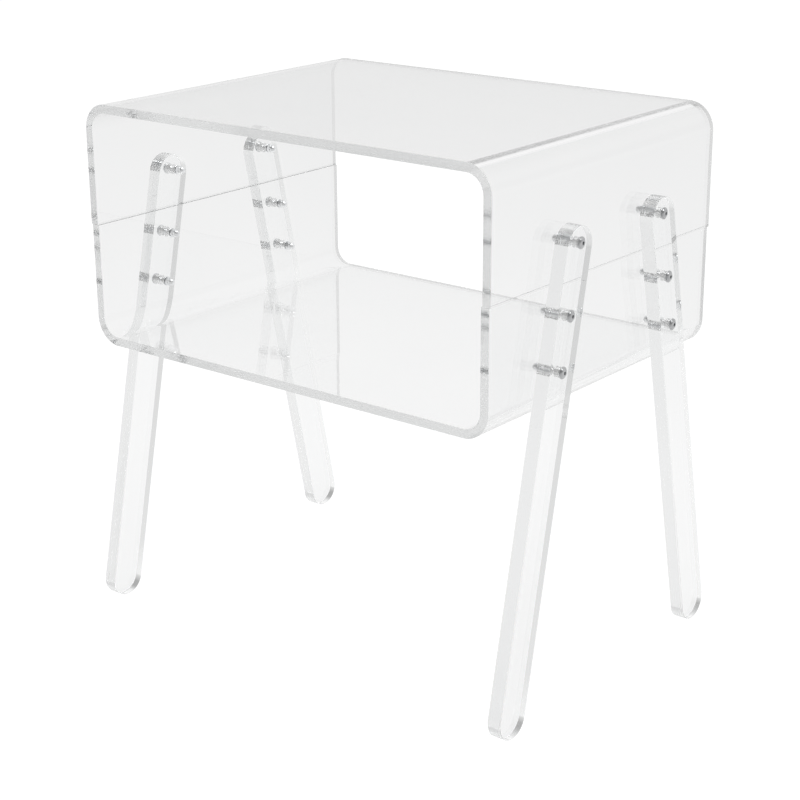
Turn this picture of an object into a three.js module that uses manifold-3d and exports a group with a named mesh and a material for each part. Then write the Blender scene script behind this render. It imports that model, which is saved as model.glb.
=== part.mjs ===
// A clear acrylic side table with an open magazine bay.
// Two sheets, each bent into a U, meet half way up the sides and make a box that is open at the front
// and at the back. Four flat bars carry it. Three bolts hold each bar to the outside of the box, each
// with a washer and a domed cap nut in the bay.
//
// Millimetres. +Z is up, the floor is Z = 0, the front is -Y, and X = 0 and Y = 0 are the middle.

import * as THREE from 'three';
import { mergeVertices } from 'three/addons/utils/BufferGeometryUtils.js';
import Module from 'manifold-3d';

// The box.
const BOX_WIDTH = 508;
const BOX_DEPTH = 375;
const SHEET_THICKNESS = 9;
const BEND_RADIUS = 28;
const TOP_HEIGHT = 126;
const SHELF_WALL_HEIGHT = 126;
const SHELF_STEP = 1.5;
const SHELF_CLEARANCE = 300;

// The legs.
const LEG_THICKNESS = 15;
const LEG_WIDTH = 40;
const LEG_TILT_DEGREES = 12;
const FOOT_INSET = 1.5;
const LEG_TIP_MARGIN = 16;

// The bolts' heights: one in the wall of the top, two in the wall of the shelf.
const TOP_BOLT_ABOVE_SEAM = 38;
const MIDDLE_BOLT_BELOW_SEAM = 27.5;
const LOW_BOLT_ABOVE_BEND = 19.2;

// M5 flanged button-head bolt with a hexagon socket.
const BOLT_DIAMETER = 5;
const BOLT_TIP_CHAMFER = 0.6;
const FLANGE_DIAMETER = 11.8;
const FLANGE_THICKNESS = 0.8;
const BUTTON_DIAMETER = 9.5;
const HEAD_HEIGHT = 2.75;
const HEAD_FLAT_DIAMETER = 4.6;
const SOCKET_WIDTH = 3;
const SOCKET_DEPTH = 1.5;
const THREAD_ENGAGEMENT = 2.3;

// M5 washer and domed cap nut.
const WASHER_DIAMETER = 10;
const WASHER_THICKNESS = 1;
const NUT_WIDTH = 8;
const NUT_HEX_HEIGHT = 4;
const NUT_HEIGHT = 10;
const NUT_DOME_DIAMETER = 7.5;
const NUT_BORE_DEPTH = 7.5;
const NUT_CHAMFER_DEGREES = 30;

// Clearances.
const SEAT_GAP = 0.3;
const THREAD_CLEARANCE = 0.3;
const LEG_HOLE_CLEARANCE = 2.5;
const WALL_HOLE_CLEARANCE = 0.5;
const CUT_OVERRUN = 1;

// Facets.
const BEND_STEPS = 6;
const LEG_END_STEPS = 15;
const HOLE_SIDES = 24;
const TURNED_SIDES = 16;
const BUTTON_STEPS = 3;
const DOME_STEPS = 4;
const HEX_SIDES = 6;

// Sizes that follow from the ones above.
const tilt = THREE.MathUtils.degToRad(LEG_TILT_DEGREES);
const legEndRadius = LEG_WIDTH / 2;
const footY = BOX_DEPTH / 2 - FOOT_INSET - legEndRadius;
const footZ = legEndRadius;
const seamZ = SHELF_CLEARANCE + SHELF_WALL_HEIGHT;
const topBaseZ = seamZ + SEAT_GAP;
const shelfWidth = BOX_WIDTH - 2 * SHELF_STEP;
const legInnerX = BOX_WIDTH / 2 + SEAT_GAP;
const headSeatX = legInnerX + LEG_THICKNESS + SEAT_GAP;
const legHoleRadius = BOLT_DIAMETER / 2 + LEG_HOLE_CLEARANCE;
const wallHoleRadius = BOLT_DIAMETER / 2 + WALL_HOLE_CLEARANCE;
const threadHoleRadius = BOLT_DIAMETER / 2 + THREAD_CLEARANCE;

// Each row of bolts: its height, and the outer width of the sheet that it holds.
const boltRows = [
  { name: 'top', z: topBaseZ + TOP_BOLT_ABOVE_SEAM, sheetWidth: BOX_WIDTH },
  { name: 'middle', z: seamZ - MIDDLE_BOLT_BELOW_SEAM, sheetWidth: shelfWidth },
  { name: 'low', z: SHELF_CLEARANCE + BEND_RADIUS + LOW_BOLT_ABOVE_BEND, sheetWidth: shelfWidth },
];
const wallInnerX = (row) => row.sheetWidth / 2 - SHEET_THICKNESS;
const washerSeatX = (row) => wallInnerX(row) - SEAT_GAP;
const nutSeatX = (row) => washerSeatX(row) - WASHER_THICKNESS - SEAT_GAP;
const boltLength = headSeatX - Math.min(...boltRows.map(nutSeatX)) + THREAD_ENGAGEMENT;

// A point of a leg's centreline, by its height.
const legY = (z) => footY - (z - footZ) * Math.tan(tilt);
// How far up the leg that point is from the centre of the foot.
const alongLeg = (z) => (z - footZ) / Math.cos(tilt);
const legCentreLength = alongLeg(boltRows[0].z) + LEG_TIP_MARGIN - legEndRadius;

const corners = [
  { name: 'front_left', x: -1, y: -1 },
  { name: 'front_right', x: 1, y: -1 },
  { name: 'back_left', x: -1, y: 1 },
  { name: 'back_right', x: 1, y: 1 },
];

const acrylic = () => new THREE.MeshStandardMaterial({
  color: 0xf2f4f4,
  roughness: 0.05,
  metalness: 0,
  transparent: true,
  opacity: 0.35,
});

const steel = () => new THREE.MeshStandardMaterial({
  color: 0xc8c9ca,
  roughness: 0.18,
  metalness: 1,
});

const wasm = await Module();
wasm.setup();

function toSolid(geometry) {
  const bare = geometry.clone();
  bare.deleteAttribute('normal');
  bare.deleteAttribute('uv');
  const merged = mergeVertices(bare);
  const index = merged.index.array;
  const corner = [];
  for (let i = 0; i < index.length; i += 3) {
    const [a, b, c] = index.slice(i, i + 3);
    if (a !== b && b !== c && c !== a) corner.push(a, b, c);
  }
  return new wasm.Manifold(new wasm.Mesh({
    numProp: 3,
    vertProperties: new Float32Array(merged.attributes.position.array),
    triVerts: new Uint32Array(corner),
  }));
}

function toGeometry(solid) {
  const mesh = solid.getMesh();
  const geometry = new THREE.BufferGeometry();
  geometry.setAttribute('position', new THREE.BufferAttribute(mesh.vertProperties, 3));
  geometry.setIndex(new THREE.BufferAttribute(mesh.triVerts, 1));
  geometry.computeVertexNormals();
  return geometry;
}

// A sheet bent into a U that opens downwards: the inner outline is the outer one moved in by the sheet.
function bentSheetOutline(width, height) {
  const half = width / 2;
  const innerHalf = half - SHEET_THICKNESS;
  const innerRadius = BEND_RADIUS - SHEET_THICKNESS;
  const bendX = half - BEND_RADIUS;
  const bendY = height - BEND_RADIUS;
  const outline = new THREE.Shape();
  outline.moveTo(half, 0);
  outline.lineTo(half, bendY);
  outline.absarc(bendX, bendY, BEND_RADIUS, 0, Math.PI / 2);
  outline.lineTo(-bendX, height);
  outline.absarc(-bendX, bendY, BEND_RADIUS, Math.PI / 2, Math.PI);
  outline.lineTo(-half, 0);
  outline.lineTo(-innerHalf, 0);
  outline.lineTo(-innerHalf, bendY);
  outline.absarc(-bendX, bendY, innerRadius, Math.PI, Math.PI / 2, true);
  outline.lineTo(bendX, height - SHEET_THICKNESS);
  outline.absarc(bendX, bendY, innerRadius, Math.PI / 2, 0, true);
  outline.lineTo(innerHalf, 0);
  outline.closePath();
  return outline;
}

// The extruded sheet stands with its width along X, its depth along Y and its height along Z.
function bentSheet(width, height) {
  const geometry = new THREE.ExtrudeGeometry(bentSheetOutline(width, height), {
    depth: BOX_DEPTH,
    bevelEnabled: false,
    curveSegments: BEND_STEPS,
  });
  geometry.translate(0, 0, -BOX_DEPTH / 2);
  geometry.rotateX(Math.PI / 2);
  return geometry;
}

// Drills straight through both walls of a sheet at each leg, in the frame of the whole table.
function drillWalls(geometry, rows) {
  let solid = toSolid(geometry);
  const drill = new THREE.CylinderGeometry(
    wallHoleRadius,
    wallHoleRadius,
    BOX_WIDTH + 2 * CUT_OVERRUN,
    HOLE_SIDES,
  );
  drill.rotateZ(Math.PI / 2);
  for (const row of rows) {
    for (const side of [-1, 1]) {
      const hole = drill.clone();
      hole.translate(0, side * legY(row.z), row.z);
      solid = solid.subtract(toSolid(hole));
    }
  }
  return toGeometry(solid);
}

function topShell() {
  const geometry = bentSheet(BOX_WIDTH, TOP_HEIGHT);
  geometry.translate(0, 0, topBaseZ);
  const mesh = new THREE.Mesh(drillWalls(geometry, boltRows.slice(0, 1)), acrylic());
  mesh.name = 'top_shell';
  return mesh;
}

function shelfShell() {
  const geometry = bentSheet(shelfWidth, SHELF_WALL_HEIGHT);
  geometry.rotateY(Math.PI);
  geometry.translate(0, 0, seamZ);
  const mesh = new THREE.Mesh(drillWalls(geometry, boltRows.slice(1)), acrylic());
  mesh.name = 'shelf_shell';
  return mesh;
}

// A flat bar with round ends. Its own frame has the centre of the foot at the origin, the bar
// running up +Z, its width along Y, and its thickness from X = 0 outwards.
function legGeometry() {
  const outline = new THREE.Shape();
  outline.moveTo(legEndRadius, 0);
  outline.lineTo(legEndRadius, legCentreLength);
  outline.absarc(0, legCentreLength, legEndRadius, 0, Math.PI);
  outline.lineTo(-legEndRadius, 0);
  outline.absarc(0, 0, legEndRadius, Math.PI, 2 * Math.PI);
  for (const row of boltRows) {
    const hole = new THREE.Path();
    hole.absarc(0, alongLeg(row.z), legHoleRadius, 0, 2 * Math.PI, true);
    outline.holes.push(hole);
  }
  const geometry = new THREE.ExtrudeGeometry(outline, {
    depth: LEG_THICKNESS,
    bevelEnabled: false,
    curveSegments: LEG_END_STEPS,
  });
  geometry.rotateX(Math.PI / 2);
  geometry.rotateZ(Math.PI / 2);
  return geometry;
}

function leg(corner, geometry) {
  const mesh = new THREE.Mesh(geometry, acrylic());
  mesh.name = `leg_${corner.name}`;
  mesh.rotation.x = corner.y * tilt;
  mesh.position.set(corner.x > 0 ? legInnerX : -legInnerX - LEG_THICKNESS, corner.y * footY, footZ);
  return mesh;
}

function hexPrism(width, height) {
  const radius = width / 2 / Math.cos(Math.PI / HEX_SIDES);
  return new THREE.CylinderGeometry(radius, radius, height, HEX_SIDES);
}

// Turned about Y, with the seat of the head at Y = 0, the head above it and the shank below.
function boltGeometry() {
  const shank = BOLT_DIAMETER / 2;
  const flange = FLANGE_DIAMETER / 2;
  const buttonRise = HEAD_HEIGHT - FLANGE_THICKNESS;
  const flat = HEAD_FLAT_DIAMETER / 2;
  const profile = [
    new THREE.Vector2(0, -boltLength),
    new THREE.Vector2(shank - BOLT_TIP_CHAMFER, -boltLength),
    new THREE.Vector2(shank, BOLT_TIP_CHAMFER - boltLength),
    new THREE.Vector2(shank, 0),
    new THREE.Vector2(flange, 0),
    new THREE.Vector2(flange, FLANGE_THICKNESS),
  ];
  for (let step = 0; step <= BUTTON_STEPS; step += 1) {
    const turn = (Math.PI / 2) * (step / BUTTON_STEPS);
    profile.push(new THREE.Vector2(
      flat + (BUTTON_DIAMETER / 2 - flat) * Math.cos(turn),
      FLANGE_THICKNESS + buttonRise * Math.sin(turn),
    ));
  }
  profile.push(new THREE.Vector2(0, HEAD_HEIGHT));
  const socket = hexPrism(SOCKET_WIDTH, SOCKET_DEPTH + CUT_OVERRUN);
  socket.translate(0, HEAD_HEIGHT + (CUT_OVERRUN - SOCKET_DEPTH) / 2, 0);
  const turned = toSolid(new THREE.LatheGeometry(profile, TURNED_SIDES));
  return toGeometry(turned.subtract(toSolid(socket)));
}

// Turned about Y, with its seat at Y = 0.
function washerGeometry() {
  const outer = WASHER_DIAMETER / 2;
  return new THREE.LatheGeometry([
    new THREE.Vector2(threadHoleRadius, 0),
    new THREE.Vector2(outer, 0),
    new THREE.Vector2(outer, WASHER_THICKNESS),
    new THREE.Vector2(threadHoleRadius, WASHER_THICKNESS),
    new THREE.Vector2(threadHoleRadius, 0),
  ], TURNED_SIDES);
}

// A hexagon whose corners are turned off at a cone, a dome that grows out of it, and a blind bore.
function capNutGeometry() {
  const domeRadius = NUT_DOME_DIAMETER / 2;
  const flatRadius = NUT_WIDTH / 2;
  const cornerRadius = flatRadius / Math.cos(Math.PI / HEX_SIDES) + THREAD_CLEARANCE;
  const chamfer = (cornerRadius - flatRadius) * Math.tan(THREE.MathUtils.degToRad(NUT_CHAMFER_DEGREES));
  const envelope = toSolid(new THREE.LatheGeometry([
    new THREE.Vector2(0, 0),
    new THREE.Vector2(flatRadius, 0),
    new THREE.Vector2(cornerRadius, chamfer),
    new THREE.Vector2(cornerRadius, NUT_HEX_HEIGHT - chamfer),
    new THREE.Vector2(flatRadius, NUT_HEX_HEIGHT),
    new THREE.Vector2(0, NUT_HEX_HEIGHT),
  ], TURNED_SIDES));
  const prism = hexPrism(NUT_WIDTH, NUT_HEX_HEIGHT + 2 * CUT_OVERRUN);
  prism.translate(0, NUT_HEX_HEIGHT / 2, 0);
  const dome = [
    new THREE.Vector2(0, NUT_HEX_HEIGHT / 2),
    new THREE.Vector2(domeRadius, NUT_HEX_HEIGHT / 2),
  ];
  for (let step = 0; step <= DOME_STEPS; step += 1) {
    const turn = (Math.PI / 2) * (step / DOME_STEPS);
    dome.push(new THREE.Vector2(
      domeRadius * Math.cos(turn),
      NUT_HEIGHT - domeRadius + domeRadius * Math.sin(turn),
    ));
  }
  const bore = new THREE.CylinderGeometry(
    threadHoleRadius,
    threadHoleRadius,
    NUT_BORE_DEPTH + CUT_OVERRUN,
    TURNED_SIDES,
  );
  bore.translate(0, (NUT_BORE_DEPTH - CUT_OVERRUN) / 2, 0);
  const body = toSolid(prism).intersect(envelope).add(toSolid(new THREE.LatheGeometry(dome, TURNED_SIDES)));
  return toGeometry(body.subtract(toSolid(bore)));
}

// Hardware is turned about Y, and its +Y end points out of the box for a bolt and into it for a nut.
function fitting(geometry, name, x, y, z, pointsRight) {
  const mesh = new THREE.Mesh(geometry, steel());
  mesh.name = name;
  mesh.position.set(x, y, z);
  mesh.rotation.z = pointsRight ? -Math.PI / 2 : Math.PI / 2;
  return mesh;
}

const table = new THREE.Group();
table.add(topShell(), shelfShell());

const legShape = legGeometry();
const boltShape = boltGeometry();
const washerShape = washerGeometry();
const capNutShape = capNutGeometry();

for (const corner of corners) {
  table.add(leg(corner, legShape));
  for (const row of boltRows) {
    const place = `${corner.name}_${row.name}`;
    const y = corner.y * legY(row.z);
    const onRight = corner.x > 0;
    table.add(fitting(boltShape, `bolt_${place}`, corner.x * headSeatX, y, row.z, onRight));
    table.add(fitting(washerShape, `washer_${place}`, corner.x * washerSeatX(row), y, row.z, !onRight));
    table.add(fitting(capNutShape, `cap_nut_${place}`, corner.x * nutSeatX(row), y, row.z, !onRight));
  }
}

export default table;
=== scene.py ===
# A clear acrylic side table with an open magazine bay.
# Two sheets, each bent into a U, meet half way up the sides. Four flat bars with round ends carry the box,
# and three bolts hold each bar, each with a washer and a domed cap nut in the bay.
# Metres. +Z is up, the floor is Z = 0, the front is -Y.
import math

import bmesh
import bpy
from mathutils import Matrix, Vector


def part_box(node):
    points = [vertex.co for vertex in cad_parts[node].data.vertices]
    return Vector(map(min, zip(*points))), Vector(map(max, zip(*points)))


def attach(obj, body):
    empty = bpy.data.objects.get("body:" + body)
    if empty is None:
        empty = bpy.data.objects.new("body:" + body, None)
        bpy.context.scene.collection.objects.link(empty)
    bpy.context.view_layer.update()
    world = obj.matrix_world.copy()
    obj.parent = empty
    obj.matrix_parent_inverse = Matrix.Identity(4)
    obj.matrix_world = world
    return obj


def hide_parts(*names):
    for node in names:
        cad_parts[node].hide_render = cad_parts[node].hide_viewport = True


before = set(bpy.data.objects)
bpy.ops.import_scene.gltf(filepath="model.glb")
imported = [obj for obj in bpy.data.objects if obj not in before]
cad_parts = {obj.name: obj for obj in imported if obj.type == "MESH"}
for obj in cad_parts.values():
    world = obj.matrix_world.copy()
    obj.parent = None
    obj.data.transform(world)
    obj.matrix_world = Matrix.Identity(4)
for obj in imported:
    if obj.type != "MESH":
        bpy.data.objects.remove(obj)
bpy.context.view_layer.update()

MM = 0.001

# The two sheets.
SHEET_THICKNESS = 9 * MM
BEND_RADIUS = 28 * MM
BEND_SEGMENTS = 48
ROUND_PROFILE = 0.5
SHEET_ARRIS = 0.08 * MM
WALL_HOLE_DIAMETER = 6 * MM

# The legs.
LEG_WIDTH = 40 * MM
LEG_END_SIDES = 128
LEG_ARRIS = 0.5 * MM
LEG_HOLE_DIAMETER = 10 * MM

# What the sheets and the legs share.
DRILL_SIDES = 64
DRILL_OVERRUN = 2 * MM
DRILLED_MARGIN = 0.25 * MM
ARRIS_SEGMENTS = 3
ARRISES_OVER = math.radians(50)

# The M5 flanged button-head bolt.
THREAD_DIAMETER = 5 * MM
THREAD_ROOT_DIAMETER = 4.2 * MM
THREAD_PITCH = 0.8 * MM
FLANGE_DIAMETER = 11.8 * MM
FLANGE_THICKNESS = 0.8 * MM
BUTTON_DIAMETER = 9.5 * MM
HEAD_HEIGHT = 2.75 * MM
HEAD_FLAT_DIAMETER = 4.6 * MM
SOCKET_WIDTH = 3 * MM
SOCKET_DEPTH = 1.5 * MM
BUTTON_STEPS = 10

# The cap nut.
NUT_WIDTH = 8 * MM
NUT_HEX_HEIGHT = 4 * MM
NUT_DOME_DIAMETER = 7.5 * MM
NUT_BORE_DEPTH = 7.5 * MM
NUT_CHAMFER = math.radians(30)
DOME_STEPS = 12

# What the fasteners share.
THREAD_HOLE_DIAMETER = 5.6 * MM
TURNED_SIDES = 48
HEX_SIDES = 6
STEEL_ARRIS = 0.12 * MM
STEEL_ARRIS_SEGMENTS = 2
STEEL_ARRISES_OVER = math.radians(40)

# Working on a mesh. A face looks along an axis when its normal has more than FACING along it, and the edge
# faces of a bar have less than EDGE_ON of it along X.
FACING = 0.5
EDGE_ON = 0.1
SMOOTH_UNDER = math.radians(40)
WEIGHT_BY_AREA = 100
BISECT_THRESHOLD = 0.001 * MM

# The finishes: the part of a noise's range that is used, how deep marks are, and how many come to the metre.
# A stretch multiplies the places that a noise reads, so under 1 draws its marks out along that axis.
NOISE_LOW = 0.35
NOISE_HIGH = 0.65
SOFT_DETAIL = 2
FINE_DETAIL = 3
NO_STRETCH = (1, 1, 1)
ACRYLIC_IOR = 1.49
ACRYLIC_CLOUDS_PER_METRE = 9
POLISH_DEPTH = 0.001 * MM
DRILL_MARK_STRETCH = (0.1, 1, 1)
DRILL_MARK_DEPTH = 0.004 * MM
STEEL_ROUGHNESS = (0.04, 0.1)
STEEL_PATCHES_PER_METRE = 260
TURNING_MARKS_PER_METRE = 1800
TURNING_MARK_STRETCH = (4, 1, 1)
TURNING_MARK_DEPTH = 0.004 * MM

# The camera.
CAMERA_AZIMUTH = math.radians(38.884)
CAMERA_ELEVATION = math.radians(19.214)
CAMERA_ROLL = math.radians(-0.344)
CAMERA_DISTANCE = 1.9591
CAMERA_HEIGHT_AIMED_AT = 0.23675
CAMERA_SIDESTEP = 0.00087
CAMERA_LENS = 83.41
CAMERA_SENSOR = 36

# The studio. The floor's greys run across it from the dim side to the lit one, and those of the two walls run
# from the horizon to straight up.
WHITE = (1, 1, 1, 1)
LIT_SIDE = (0, 1, 0)
SIDES_MEET_WITHIN = 0.3
FLOOR_RADIUS = 60
FLOOR_SIDES = 96
FLOOR_FADE = 5
FLOOR_COLOUR = (0.1, 0.1, 0.1, 1)
FLOOR_GLOW = 0.985
FLOOR_GREYS = ((0.0, 0.66), (0.45, 0.68), (0.485, 0.86), (0.55, 0.86), (0.8, 0.82), (1.0, 0.8))
LIT_GREYS = ((0.0, 0.8), (0.14, 0.8), (0.21, 0.84), (0.31, 0.93), (0.45, 0.97), (0.7, 0.9), (1.0, 0.6))
DIM_GREYS = ((0.0, 0.7), (0.2, 0.58), (0.45, 0.4), (0.75, 0.4), (1.0, 0.6))
RAMP_MIDDLE = 0.5
SOFTBOX_HEIGHT = 2.2
SOFTBOX_SIDE = 1.2
SOFTBOX_WATTS = 20
LIGHT_BOUNCES = 256
DIFFUSE_BOUNCES = 4

CORNERS = ("front_left", "front_right", "back_left", "back_right")
ROWS = ("top", "middle", "low")


# ---------------------------------------------------------------------------------------------------------
# Working on a mesh by hand
# ---------------------------------------------------------------------------------------------------------

def only(*pieces):
    bpy.ops.object.select_all(action="DESELECT")
    for piece in pieces:
        piece.select_set(True)
    bpy.context.view_layer.objects.active = pieces[0]


def settle(piece):
    """Leaves the object at the origin, unturned and unscaled, with its place in its mesh."""
    only(piece)
    bpy.ops.object.transform_apply(location=True, rotation=True, scale=True)


def named_new(name):
    """The primitive just added, with its place moved into its mesh."""
    piece = bpy.context.view_layer.objects.active
    piece.name = name
    piece.data.name = name
    settle(piece)
    return piece


def start_edit(piece, mode="FACE"):
    only(piece)
    bpy.ops.object.mode_set(mode="EDIT")
    bpy.ops.mesh.select_mode(type=mode)
    bpy.ops.mesh.select_all(action="DESELECT")


def end_edit():
    bpy.ops.object.mode_set(mode="OBJECT")


def pick_faces(piece, wanted):
    mesh = bmesh.from_edit_mesh(piece.data)
    for face in mesh.faces:
        face.select_set(bool(wanted(face)))
    bmesh.update_edit_mesh(piece.data)


def pick_edges(piece, wanted):
    mesh = bmesh.from_edit_mesh(piece.data)
    for edge in mesh.edges:
        edge.select_set(bool(wanted(edge)))
    bmesh.update_edit_mesh(piece.data)


def apply_modifier(piece, kind, **settings):
    only(piece)
    modifier = piece.modifiers.new(kind.title(), kind)
    for name, value in settings.items():
        setattr(modifier, name, value)
    bpy.ops.object.modifier_apply(modifier=modifier.name)


def combine(piece, tool, operation):
    """Cuts, joins or intersects the piece with a tool, which is then thrown away."""
    apply_modifier(piece, "BOOLEAN", object=tool, operation=operation, solver="EXACT")
    bpy.data.objects.remove(tool, do_unlink=True)


def drill(piece, diameter, middle, length):
    """Drills along X, straight through whatever lies within the length."""
    bpy.ops.mesh.primitive_cylinder_add(
        vertices=DRILL_SIDES,
        radius=diameter / 2,
        depth=length,
        location=middle,
        rotation=(0, math.pi / 2, 0),
    )
    combine(piece, named_new("drill"), "DIFFERENCE")


def round_over(piece, width, segments, sharper_than):
    """Takes off the arrises, and shades flat faces flat and bends smooth."""
    apply_modifier(
        piece,
        "BEVEL",
        width=width,
        segments=segments,
        limit_method="ANGLE",
        angle_limit=sharper_than,
        use_clamp_overlap=False,
        miter_outer="MITER_ARC",
    )
    bpy.ops.object.shade_smooth_by_angle(angle=SMOOTH_UNDER, keep_sharp_edges=False)
    apply_modifier(piece, "WEIGHTED_NORMAL", mode="FACE_AREA", weight=WEIGHT_BY_AREA, keep_sharp=True)


def turn(name, sides, stations):
    """A turned piece along X: each station is a place on X and a radius, in order, and both ends are closed.
    A disc is laid at the first station, and its face is extruded and scaled to each of the others."""
    place, radius = stations[0]
    bpy.ops.mesh.primitive_circle_add(
        vertices=sides,
        radius=radius,
        fill_type="NGON",
        location=(place, 0, 0),
        rotation=(0, math.pi / 2, 0),
    )
    piece = named_new(name)
    start_edit(piece)
    bpy.ops.mesh.select_all(action="SELECT")
    for next_place, next_radius in stations[1:]:
        bpy.ops.mesh.extrude_region_move(
            TRANSFORM_OT_translate={"value": (next_place - place, 0, 0)}
        )
        share = next_radius / radius
        bpy.ops.transform.resize(value=(1, share, share), center_override=(next_place, 0, 0))
        place, radius = next_place, next_radius
    bpy.ops.mesh.select_all(action="SELECT")
    bpy.ops.mesh.normals_make_consistent(inside=False)
    end_edit()
    return piece


def hexagon(name, width, low, high):
    """A hexagonal prism along X."""
    bpy.ops.mesh.primitive_cylinder_add(
        vertices=HEX_SIDES,
        radius=width / 2 / math.cos(math.pi / HEX_SIDES),
        depth=high - low,
        location=((low + high) / 2, 0, 0),
        rotation=(0, math.pi / 2, 0),
    )
    return named_new(name)


# ---------------------------------------------------------------------------------------------------------
# Finishes
# ---------------------------------------------------------------------------------------------------------

def new_finish(name):
    finish = bpy.data.materials.new(name)
    finish.use_nodes = True
    return finish, finish.node_tree.nodes["Principled BSDF"]


def add_node(owner, kind, **settings):
    """A new node in a finish or in the world."""
    node = owner.node_tree.nodes.new(kind)
    for name, value in settings.items():
        setattr(node, name, value)
    return node


def join(owner, output, socket):
    owner.node_tree.links.new(output, socket)


def grain(finish, per_metre, detail, stretch=NO_STRETCH):
    """Noise laid over the piece, with so many blotches to the metre, stretched along an axis where asked."""
    place = add_node(finish, "ShaderNodeTexCoord")
    mapping = add_node(finish, "ShaderNodeMapping")
    mapping.inputs["Scale"].default_value = stretch
    texture = add_node(finish, "ShaderNodeTexNoise")
    texture.inputs["Scale"].default_value = per_metre
    texture.inputs["Detail"].default_value = detail
    join(finish, place.outputs["Object"], mapping.inputs["Vector"])
    join(finish, mapping.outputs["Vector"], texture.inputs["Vector"])
    return texture.outputs["Fac"]


def spread(finish, value, low, high):
    """The middle of the noise's range, spread from low to high."""
    scale = add_node(finish, "ShaderNodeMapRange")
    scale.inputs["From Min"].default_value = NOISE_LOW
    scale.inputs["From Max"].default_value = NOISE_HIGH
    scale.inputs["To Min"].default_value = low
    scale.inputs["To Max"].default_value = high
    join(finish, value, scale.inputs["Value"])
    return scale.outputs["Result"]


def tint(finish, value, one, other):
    mix = add_node(finish, "ShaderNodeMix", data_type="RGBA")
    mix.inputs["A"].default_value = (*one, 1)
    mix.inputs["B"].default_value = (*other, 1)
    join(finish, value, mix.inputs["Factor"])
    return mix.outputs["Result"]


def relief(finish, shader, value, depth):
    bump = add_node(finish, "ShaderNodeBump")
    bump.inputs["Strength"].default_value = 1
    bump.inputs["Distance"].default_value = depth
    join(finish, value, bump.inputs["Height"])
    join(finish, bump.outputs["Normal"], shader.inputs["Normal"])


def acrylic_finish(name, roughness, colours, per_metre, depth, stretch=NO_STRETCH):
    """Clear acrylic. roughness is its lowest and highest value, and depth is how deep its marks are."""
    finish, shader = new_finish(name)
    shader.inputs["Transmission Weight"].default_value = 1
    shader.inputs["IOR"].default_value = ACRYLIC_IOR
    marks = grain(finish, per_metre, FINE_DETAIL, stretch)
    clouds = grain(finish, ACRYLIC_CLOUDS_PER_METRE, SOFT_DETAIL)
    join(finish, tint(finish, spread(finish, clouds, 0, 1), *colours), shader.inputs["Base Color"])
    join(finish, spread(finish, marks, *roughness), shader.inputs["Roughness"])
    relief(finish, shader, marks, depth)
    return finish


def steel_finish(name, colours):
    """Polished steel with faint turning marks and a few dull patches."""
    finish, shader = new_finish(name)
    shader.inputs["Metallic"].default_value = 1
    patches = grain(finish, STEEL_PATCHES_PER_METRE, SOFT_DETAIL)
    marks = grain(finish, TURNING_MARKS_PER_METRE, FINE_DETAIL, TURNING_MARK_STRETCH)
    join(finish, tint(finish, spread(finish, patches, 0, 1), *colours), shader.inputs["Base Color"])
    join(finish, spread(finish, patches, *STEEL_ROUGHNESS), shader.inputs["Roughness"])
    relief(finish, shader, marks, TURNING_MARK_DEPTH)
    return finish


sheet_acrylic = acrylic_finish(
    "sheet_acrylic",
    roughness=(0, 0.004),
    colours=((0.962, 0.964, 0.964), (0.952, 0.955, 0.956)),
    per_metre=30,
    depth=POLISH_DEPTH,
)
bar_acrylic = acrylic_finish(
    "bar_acrylic",
    roughness=(0, 0.004),
    colours=((0.992, 0.995, 0.995), (0.985, 0.988, 0.989)),
    per_metre=30,
    depth=POLISH_DEPTH,
)
cut_acrylic = acrylic_finish(
    "cut_acrylic_edge",
    roughness=(0.14, 0.17),
    colours=((0.81, 0.815, 0.815), (0.78, 0.786, 0.787)),
    per_metre=60,
    depth=POLISH_DEPTH,
)
bar_edge_acrylic = acrylic_finish(
    "bar_edge_acrylic",
    roughness=(0, 0.006),
    colours=((0.9, 0.904, 0.904), (0.88, 0.885, 0.886)),
    per_metre=60,
    depth=POLISH_DEPTH,
)
drilled_acrylic = acrylic_finish(
    "drilled_acrylic",
    roughness=(0.34, 0.5),
    colours=((0.97, 0.972, 0.975), (0.93, 0.934, 0.938)),
    per_metre=900,
    depth=DRILL_MARK_DEPTH,
    stretch=DRILL_MARK_STRETCH,
)
bright_steel = steel_finish("bright_steel", colours=((0.88, 0.885, 0.89), (0.8, 0.81, 0.82)))
# The bolt heads get the same steel painted darker: painted shade, standing in for the dark studio that the
# heads mirror.
shade_painted_head_steel = steel_finish("shade_painted_head_steel", colours=((0.54, 0.544, 0.55), (0.42, 0.426, 0.434)))

POLISHED, CUT, DRILLED = range(3)


def give_acrylic(piece, finishes, is_cut, is_drilled):
    """finishes are for the polished faces, the cut edges and the drilled holes, in that order."""
    for finish in finishes:
        piece.data.materials.append(finish)
    for face in piece.data.polygons:
        if is_drilled(face.center, face.normal):
            face.material_index = DRILLED
        elif is_cut(face.center, face.normal):
            face.material_index = CUT
        else:
            face.material_index = POLISHED


def finished(piece, name):
    """Hands the piece over in the place of the solid of that name."""
    piece.name = f"{name}_made"
    piece.data.name = piece.name
    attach(piece, "root")
    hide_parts(name)


# ---------------------------------------------------------------------------------------------------------
# The bolts' places
# ---------------------------------------------------------------------------------------------------------

def middle_of(node):
    low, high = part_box(node)
    return (low + high) / 2


def bolt_axis(corner, row):
    """The point on X = 0 that a bolt's axis passes through."""
    middle = middle_of(f"bolt_{corner}_{row}")
    return Vector((0, middle.y, middle.z))


def near_axis(point, axes, diameter):
    """True on the wall of a drilled hole, and a hair past it. The holes' axes run along X."""
    reach = diameter / 2 + DRILLED_MARGIN
    return any(math.hypot(point.y - axis.y, point.z - axis.z) < reach for axis in axes)


# ---------------------------------------------------------------------------------------------------------
# The two bent sheets
# ---------------------------------------------------------------------------------------------------------

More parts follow.
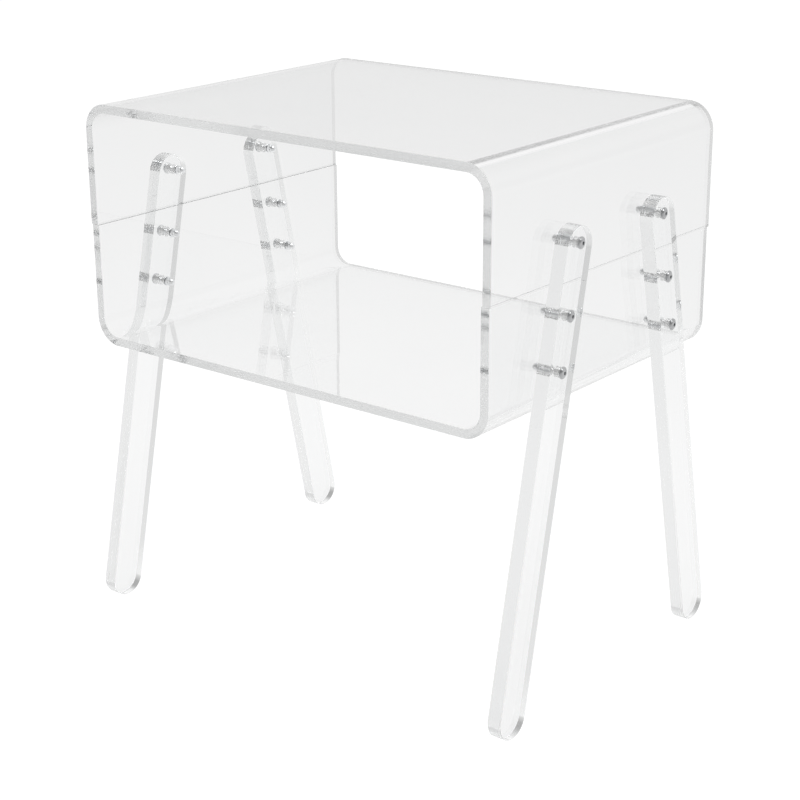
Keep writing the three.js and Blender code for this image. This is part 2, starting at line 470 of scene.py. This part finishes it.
def bent_sheet(name, rows, opens):
    """A block of the sheet's outer size loses three faces, which leaves the skin of a U that opens along
    +Z or -Z. Its two long edges are rounded, and it is given its thickness inwards."""
    low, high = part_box(name)
    bpy.ops.mesh.primitive_cube_add(size=1, location=(low + high) / 2, scale=high - low)
    sheet = named_new(f"{name}_sheet")
    start_edit(sheet)
    pick_faces(sheet, lambda face: face.normal.z * opens > FACING or abs(face.normal.y) > FACING)
    bpy.ops.mesh.delete(type="FACE")
    bpy.ops.mesh.select_mode(type="EDGE")
    pick_edges(sheet, lambda edge: not edge.is_boundary)
    bpy.ops.mesh.bevel(
        offset=BEND_RADIUS,
        segments=BEND_SEGMENTS,
        profile=ROUND_PROFILE,
        affect="EDGES",
    )
    end_edit()
    apply_modifier(sheet, "SOLIDIFY", thickness=SHEET_THICKNESS, offset=-1, use_even_offset=True)

    axes = [bolt_axis(corner, row) for corner in ("front_right", "back_right") for row in rows]
    for axis in axes:
        drill(sheet, WALL_HOLE_DIAMETER, axis, high.x - low.x + 2 * DRILL_OVERRUN)
    round_over(sheet, SHEET_ARRIS, ARRIS_SEGMENTS, ARRISES_OVER)

    give_acrylic(
        sheet,
        (sheet_acrylic, cut_acrylic, drilled_acrylic),
        is_cut=lambda point, normal: abs(point.y) > high.y - SHEET_ARRIS / 4,
        is_drilled=lambda point, normal: (
            abs(normal.x) < FACING and near_axis(point, axes, WALL_HOLE_DIAMETER)
        ),
    )
    finished(sheet, name)


# ---------------------------------------------------------------------------------------------------------
# The legs
# ---------------------------------------------------------------------------------------------------------

def round_end(centre, thickness, keeps_above):
    """Half of a disc that stands across X, open on its straight side."""
    bpy.ops.mesh.primitive_cylinder_add(
        vertices=LEG_END_SIDES,
        radius=LEG_WIDTH / 2,
        depth=thickness,
        location=centre,
        rotation=(0, math.pi / 2, 0),
    )
    half = named_new("round_end")
    start_edit(half)
    bpy.ops.mesh.select_all(action="SELECT")
    bpy.ops.mesh.bisect(
        plane_co=centre,
        plane_no=(0, 0, 1),
        clear_inner=keeps_above,
        clear_outer=not keeps_above,
        threshold=BISECT_THRESHOLD,
    )
    end_edit()
    return half


def upright_bar(thickness, length):
    """A flat bar with round ends: two half discs, bridged. The centre of the lower one is the origin."""
    foot = round_end(Vector((0, 0, 0)), thickness, keeps_above=False)
    tip = round_end(Vector((0, 0, length)), thickness, keeps_above=True)
    only(foot, tip)
    bpy.ops.object.join()
    start_edit(foot, "EDGE")
    pick_edges(foot, lambda edge: edge.is_boundary)
    bpy.ops.mesh.bridge_edge_loops()
    bpy.ops.mesh.select_all(action="SELECT")
    bpy.ops.mesh.normals_make_consistent(inside=False)
    end_edit()
    return foot


def front_right_leg():
    """The bar leans in the plane of the side, as its solid's box says, and is drilled for its three bolts."""
    low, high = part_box("leg_front_right")
    radius = LEG_WIDTH / 2
    foot_centre = Vector(((low.x + high.x) / 2, low.y + radius, low.z + radius))
    reach = Vector((0, high.y - low.y - LEG_WIDTH, high.z - low.z - LEG_WIDTH))
    bar = upright_bar(high.x - low.x, reach.length)
    bar.rotation_euler.x = -math.atan2(reach.y, reach.z)
    bar.location = foot_centre
    settle(bar)
    axes = [bolt_axis("front_right", row) for row in ROWS]
    for axis in axes:
        middle = Vector((foot_centre.x, axis.y, axis.z))
        drill(bar, LEG_HOLE_DIAMETER, middle, high.x - low.x + 2 * DRILL_OVERRUN)
    round_over(bar, LEG_ARRIS, ARRIS_SEGMENTS, ARRISES_OVER)
    give_acrylic(
        bar,
        (bar_acrylic, bar_edge_acrylic, drilled_acrylic),
        is_cut=lambda point, normal: abs(normal.x) < EDGE_ON,
        is_drilled=lambda point, normal: (
            abs(normal.x) < FACING and near_axis(point, axes, LEG_HOLE_DIAMETER)
        ),
    )
    return bar


def copy_turned(master, half_turn, shift):
    """A copy with a mesh of its own, turned half round about Z where asked, and then moved."""
    piece = master.copy()
    piece.data = master.data.copy()
    bpy.context.collection.objects.link(piece)
    piece.rotation_euler.z = math.pi if half_turn else 0
    piece.location = shift
    settle(piece)
    return piece


def legs():
    master = front_right_leg()
    for corner in CORNERS:
        name = f"leg_{corner}"
        half_turn = corner.startswith("back")
        start = Vector(middle_of("leg_front_right"))
        if half_turn:
            start = Vector((-start.x, -start.y, start.z))
        piece = copy_turned(master, half_turn, middle_of(name) - start)
        finished(piece, name)
    bpy.data.objects.remove(master, do_unlink=True)


# ---------------------------------------------------------------------------------------------------------
# Bolts, washers and cap nuts, each turned about X with its seat at X = 0
# ---------------------------------------------------------------------------------------------------------

def bolt():
    """The head is on the +X side of its seat, and the thread runs from there towards -X."""
    low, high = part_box("bolt_front_right_top")
    length = high.x - low.x - HEAD_HEIGHT
    crest = THREAD_DIAMETER / 2
    root = THREAD_ROOT_DIAMETER / 2
    turns = int(length / THREAD_PITCH) - 1
    stations = [(-length, root - (crest - root))]
    for count in range(turns):
        place = -length + (count + 0.5) * THREAD_PITCH
        stations.append((place, root))
        stations.append((place + THREAD_PITCH / 2, crest))
    stations.append((-THREAD_PITCH / 2, root))
    stations.append((0, root))
    stations.append((0, FLANGE_DIAMETER / 2))
    stations.append((FLANGE_THICKNESS, FLANGE_DIAMETER / 2))
    flat = HEAD_FLAT_DIAMETER / 2
    for step in range(BUTTON_STEPS + 1):
        angle = math.pi / 2 * step / BUTTON_STEPS
        stations.append((
            FLANGE_THICKNESS + (HEAD_HEIGHT - FLANGE_THICKNESS) * math.sin(angle),
            flat + (BUTTON_DIAMETER / 2 - flat) * math.cos(angle),
        ))
    piece = turn("bolt", TURNED_SIDES, stations)
    socket = hexagon("socket", SOCKET_WIDTH, HEAD_HEIGHT - SOCKET_DEPTH, 2 * HEAD_HEIGHT)
    combine(piece, socket, "DIFFERENCE")
    return piece


def washer():
    low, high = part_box("washer_front_right_top")
    thickness = high.x - low.x
    radius = (high.z - low.z) / 2
    edge = 2 * STEEL_ARRIS
    piece = turn("washer", TURNED_SIDES, [
        (0, radius - edge),
        (edge, radius),
        (thickness - edge, radius),
        (thickness, radius - edge),
    ])
    drill(piece, THREAD_HOLE_DIAMETER, Vector((thickness / 2, 0, 0)), thickness + 2 * DRILL_OVERRUN)
    return piece


def cap_nut():
    """A hexagon whose corners are turned off at a cone, a dome that grows out of it, and a blind bore."""
    low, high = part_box("cap_nut_front_right_top")
    height = high.x - low.x
    flat = NUT_WIDTH / 2
    corner = flat / math.cos(math.pi / HEX_SIDES)
    chamfer = (corner - flat) * math.tan(NUT_CHAMFER)
    envelope = turn("envelope", TURNED_SIDES, [
        (0, flat),
        (chamfer, corner),
        (NUT_HEX_HEIGHT - chamfer, corner),
        (NUT_HEX_HEIGHT, flat),
    ])
    overrun = STEEL_ARRIS
    piece = hexagon("cap_nut", NUT_WIDTH, -overrun, NUT_HEX_HEIGHT + overrun)
    combine(piece, envelope, "INTERSECT")

    dome = NUT_DOME_DIAMETER / 2
    stations = [(NUT_HEX_HEIGHT / 2, dome)]
    for step in range(DOME_STEPS):
        angle = math.pi / 2 * step / DOME_STEPS
        stations.append((height - dome + dome * math.sin(angle), dome * math.cos(angle)))
    stations.append((height, dome / DOME_STEPS / 2))
    combine(piece, turn("dome", TURNED_SIDES, stations), "UNION")
    drill(piece, THREAD_HOLE_DIAMETER, Vector((0, 0, 0)), 2 * NUT_BORE_DEPTH)
    return piece


def fasteners():
    """The bolt's head points out of the box. The washer and the nut point into it."""
    kinds = (
        ("bolt", bolt(), 1),
        ("washer", washer(), -1),
        ("cap_nut", cap_nut(), -1),
    )
    for kind, master, outwards in kinds:
        round_over(master, STEEL_ARRIS, STEEL_ARRIS_SEGMENTS, STEEL_ARRISES_OVER)
        master.data.materials.append(bright_steel)
        if kind == "bolt":
            # Faces on the head side take the darker steel, which is painted shade on the head.
            master.data.materials.append(shade_painted_head_steel)
            for face in master.data.polygons:
                face.material_index = int(face.center.x > 0)
        box = [Vector(corner) for corner in master.bound_box]
        own_middle = sum(box, Vector()) / len(box)
        for corner in CORNERS:
            side = -1 if corner.endswith("left") else 1
            half_turn = side * outwards < 0
            start = Vector((-own_middle.x if half_turn else own_middle.x, 0, 0))
            for row in ROWS:
                name = f"{kind}_{corner}_{row}"
                piece = copy_turned(master, half_turn, middle_of(name) - start)
                finished(piece, name)
        bpy.data.objects.remove(master, do_unlink=True)


# ---------------------------------------------------------------------------------------------------------
# The studio
# ---------------------------------------------------------------------------------------------------------

def white_to_the_camera(owner, seen_by_the_table):
    """What the camera sees straight is plain white, and what the table shows and mirrors is the studio."""
    path = add_node(owner, "ShaderNodeLightPath")
    mix = add_node(owner, "ShaderNodeMix", data_type="RGBA")
    mix.inputs["B"].default_value = WHITE
    join(owner, path.outputs["Is Camera Ray"], mix.inputs["Factor"])
    join(owner, seen_by_the_table, mix.inputs["A"])
    return mix.outputs["Result"]


def greys(owner, value, stops):
    """A ramp of greys, each stop a place and a brightness. New stops start in its middle and are moved."""
    ramp = add_node(owner, "ShaderNodeValToRGB")
    elements = ramp.color_ramp.elements
    while len(elements) < len(stops):
        elements.new(RAMP_MIDDLE)
    for element, (place, grey) in zip(elements, stops):
        element.position = place
        element.color = (grey, grey, grey, 1)
    join(owner, value, ramp.inputs["Fac"])
    return ramp.outputs["Color"]


def towards_lit_side(owner, place, reach, **settings):
    """From 0 to 1 as the place goes from the reach on the dim side to the reach on the lit one."""
    side = add_node(owner, "ShaderNodeVectorMath", operation="DOT_PRODUCT")
    side.inputs[1].default_value = LIT_SIDE
    share = add_node(owner, "ShaderNodeMapRange", **settings)
    share.inputs["From Min"].default_value = -reach
    share.inputs["From Max"].default_value = reach
    join(owner, place, side.inputs[0])
    join(owner, side.outputs["Value"], share.inputs["Value"])
    return share.outputs["Result"]


def floor():
    """A white floor that glows, with its own greys for the dim side and the lit one."""
    bpy.ops.mesh.primitive_circle_add(vertices=FLOOR_SIDES, radius=FLOOR_RADIUS, fill_type="NGON")
    ground = named_new("studio_floor")
    finish, shader = new_finish("white_floor")
    shader.inputs["Base Color"].default_value = FLOOR_COLOUR
    shader.inputs["Roughness"].default_value = 1
    shader.inputs["Specular IOR Level"].default_value = 0
    shader.inputs["Emission Strength"].default_value = FLOOR_GLOW
    place = add_node(finish, "ShaderNodeTexCoord").outputs["Object"]
    glow = greys(finish, towards_lit_side(finish, place, FLOOR_FADE), FLOOR_GREYS)
    join(finish, white_to_the_camera(finish, glow), shader.inputs["Emission Color"])
    ground.data.materials.append(finish)


def walls():
    """The light of the studio walls, by height above the horizon, on the dim side and on the lit one."""
    world = bpy.data.worlds.new("studio")
    bpy.context.scene.world = world
    world.use_nodes = True
    place = add_node(world, "ShaderNodeTexCoord").outputs["Generated"]
    split = add_node(world, "ShaderNodeSeparateXYZ")
    mix = add_node(world, "ShaderNodeMix", data_type="RGBA")
    join(world, place, split.inputs["Vector"])
    lit = towards_lit_side(world, place, SIDES_MEET_WITHIN, interpolation_type="SMOOTHSTEP")
    join(world, lit, mix.inputs["Factor"])
    join(world, greys(world, split.outputs["Z"], DIM_GREYS), mix.inputs["A"])
    join(world, greys(world, split.outputs["Z"], LIT_GREYS), mix.inputs["B"])
    seen = white_to_the_camera(world, mix.outputs["Result"])
    join(world, seen, world.node_tree.nodes["Background"].inputs["Color"])


def overhead_softbox():
    """A square light that looks straight down on the table."""
    light = bpy.data.lights.new("overhead_softbox", "AREA")
    light.shape = "SQUARE"
    light.size = SOFTBOX_SIDE
    light.energy = SOFTBOX_WATTS
    lamp = bpy.data.objects.new("overhead_softbox", light)
    bpy.context.collection.objects.link(lamp)
    lamp.location.z = SOFTBOX_HEIGHT


def camera():
    azimuth, elevation = CAMERA_AZIMUTH, CAMERA_ELEVATION
    back = Vector((
        math.sin(azimuth) * math.cos(elevation),
        -math.cos(azimuth) * math.cos(elevation),
        math.sin(elevation),
    ))
    level_right = Vector((math.cos(azimuth), math.sin(azimuth), 0))
    level_up = back.cross(level_right)
    right = math.cos(CAMERA_ROLL) * level_right + math.sin(CAMERA_ROLL) * level_up
    up = math.cos(CAMERA_ROLL) * level_up - math.sin(CAMERA_ROLL) * level_right
    aimed_at = Vector((0, 0, CAMERA_HEIGHT_AIMED_AT)) + CAMERA_SIDESTEP * level_right
    place = aimed_at + CAMERA_DISTANCE * back

    data = bpy.data.cameras.new("camera")
    data.lens = CAMERA_LENS
    data.sensor_width = CAMERA_SENSOR
    view = bpy.data.objects.new("camera", data)
    bpy.context.collection.objects.link(view)
    turned = Matrix((right, up, back)).transposed().to_4x4()
    view.matrix_world = Matrix.Translation(place) @ turned
    bpy.context.scene.camera = view


def light_paths():
    """Light runs a long way inside the sheets before it leaves them, so it needs many bounces."""
    cycles = bpy.context.scene.cycles
    cycles.max_bounces = LIGHT_BOUNCES
    cycles.glossy_bounces = LIGHT_BOUNCES
    cycles.transmission_bounces = LIGHT_BOUNCES
    cycles.diffuse_bounces = DIFFUSE_BOUNCES
    bpy.context.scene.view_settings.view_transform = "Standard"


bent_sheet("top_shell", rows=("top",), opens=-1)
bent_sheet("shelf_shell", rows=("middle", "low"), opens=1)
legs()
fasteners()
floor()
walls()
overhead_softbox()
camera()
light_paths()
